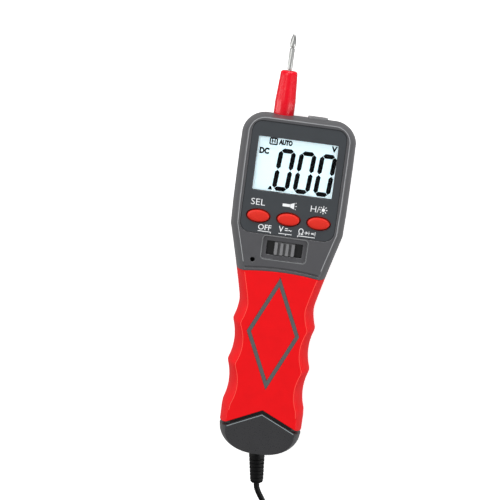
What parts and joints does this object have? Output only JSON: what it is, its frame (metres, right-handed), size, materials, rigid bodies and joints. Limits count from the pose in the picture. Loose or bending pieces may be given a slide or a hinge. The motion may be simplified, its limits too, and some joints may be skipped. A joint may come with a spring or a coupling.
{
  "type": "pen multimeter",
  "caption": "Pen-shaped multimeter with a waisted soft grip, display head, push buttons, slide switch, fixed probe, torch and a coiled lead with a second probe.",
  "frame": {"origin": "middle of the meter's length and width, tail to probe tip, on the surface that its back rests on; the lead and what is on it aren't counted", "axes": "+X to the right of the display, +Y from the tail to the probe tip, +Z out of the display"},
  "size_m": [0.0576, 0.4076, 0.0306],
  "materials": {
    "case_plastic": "fine moulded texture",
    "inlay_plastic": "fine moulded texture",
    "grip_rubber": "satin soft overmould",
    "cap_plastic": "fine moulded texture",
    "panel_film": "printed overlay, satin",
    "window_clear": "clear acrylic",
    "lcd_glass": "pale display glass with dark segments",
    "white_plastic": "moulded",
    "zebra_rubber": "layered elastomer",
    "board_laminate": "solder mask on glass laminate",
    "chip_epoxy": "moulded epoxy",
    "ptc_epoxy": "dipped epoxy",
    "resistor_enamel": "enamel",
    "button_plastic": "satin",
    "plunger_plastic": "moulded",
    "knob_plastic": "moulded with grip ribs",
    "switch_steel": "pressed tinplate",
    "wiper_plastic": "moulded",
    "bezel_plastic": "moulded",
    "lamp_clear": "clear epoxy",
    "sleeve_plastic": "gloss",
    "probe_steel": "nickel plated",
    "contact_brass": "plain",
    "relief_rubber": "moulded, satin",
    "lead_silicone": "satin sheath",
    "cell_jacket": "printed film jacket",
    "fastener_steel": "zinc plated",
    "spring_steel": "nickel plated",
    "tie_fabric": "woven hook and loop strap",
    "handle_plastic": "satin"
  },
  "bodies": {
    "body": {"front_case": "case_plastic", "rear_case": "case_plastic", "front_grip": "grip_rubber", "rear_grip": "grip_rubber", "diamond_inlay": "inlay_plastic", "tail_cap": "cap_plastic", "display_panel": "panel_film", "display_window": "window_clear", "lcd_glass": "lcd_glass", "lcd_frame": "white_plastic", "backlight_block": "white_plastic", "zebra_strips": "zebra_rubber", "main_board": "board_laminate", "meter_chip": "chip_epoxy", "ptc_resistor": "ptc_epoxy", "input_resistors": "resistor_enamel", "tact_switches": "chip_epoxy", "slide_switch_body": "switch_steel", "buzzer": "chip_epoxy", "torch_bezel": "bezel_plastic", "torch_lamp": "lamp_clear", "probe_sleeve": "sleeve_plastic", "probe_tip": "probe_steel", "probe_socket": "contact_brass", "strain_relief": "relief_rubber", "inner_lead": "lead_silicone", "battery_left": "cell_jacket", "battery_right": "cell_jacket", "battery_springs": "spring_steel", "contact_bridge": "contact_brass", "contact_plus": "contact_brass", "contact_minus": "contact_brass", "case_screws": "fastener_steel", "lead_run": "lead_silicone", "lead_coil": "lead_silicone", "coil_tie": "tie_fabric", "lead_end": "lead_silicone", "test_probe_relief": "relief_rubber", "test_probe_handle": "handle_plastic", "test_probe_tip": "probe_steel"},
    "select_button": {"button_select": "button_plastic", "plunger_select": "plunger_plastic"},
    "torch_button": {"button_torch": "button_plastic", "plunger_torch": "plunger_plastic"},
    "hold_button": {"button_hold": "button_plastic", "plunger_hold": "plunger_plastic"},
    "slide_switch": {"slide_knob": "knob_plastic", "slide_switch_wiper": "wiper_plastic"},
    "battery_cover": {"battery_door": "cap_plastic", "battery_door_screw": "fastener_steel"}
  },
  "joints": [
    {"name": "select_press", "type": "slide", "parent": "body", "child": "select_button", "axis": [0, 0, -1], "range_m": [0, 0.0007], "stiffness_N_per_m": 1000},
    {"name": "torch_press", "type": "slide", "parent": "body", "child": "torch_button", "axis": [0, 0, -1], "range_m": [0, 0.0007], "stiffness_N_per_m": 1000},
    {"name": "hold_press", "type": "slide", "parent": "body", "child": "hold_button", "axis": [0, 0, -1], "range_m": [0, 0.0007], "stiffness_N_per_m": 1000},
    {"name": "mode_slide", "type": "slide", "parent": "body", "child": "slide_switch", "axis": [1, 0, 0], "range_m": [-0.00375, 0.00375]},
    {"name": "cover_hinge", "type": "hinge", "parent": "body", "child": "battery_cover", "pos_m": [0, -0.019, 0.0012], "axis": [1, 0, 0], "range_deg": [0, 65]}
  ]
}
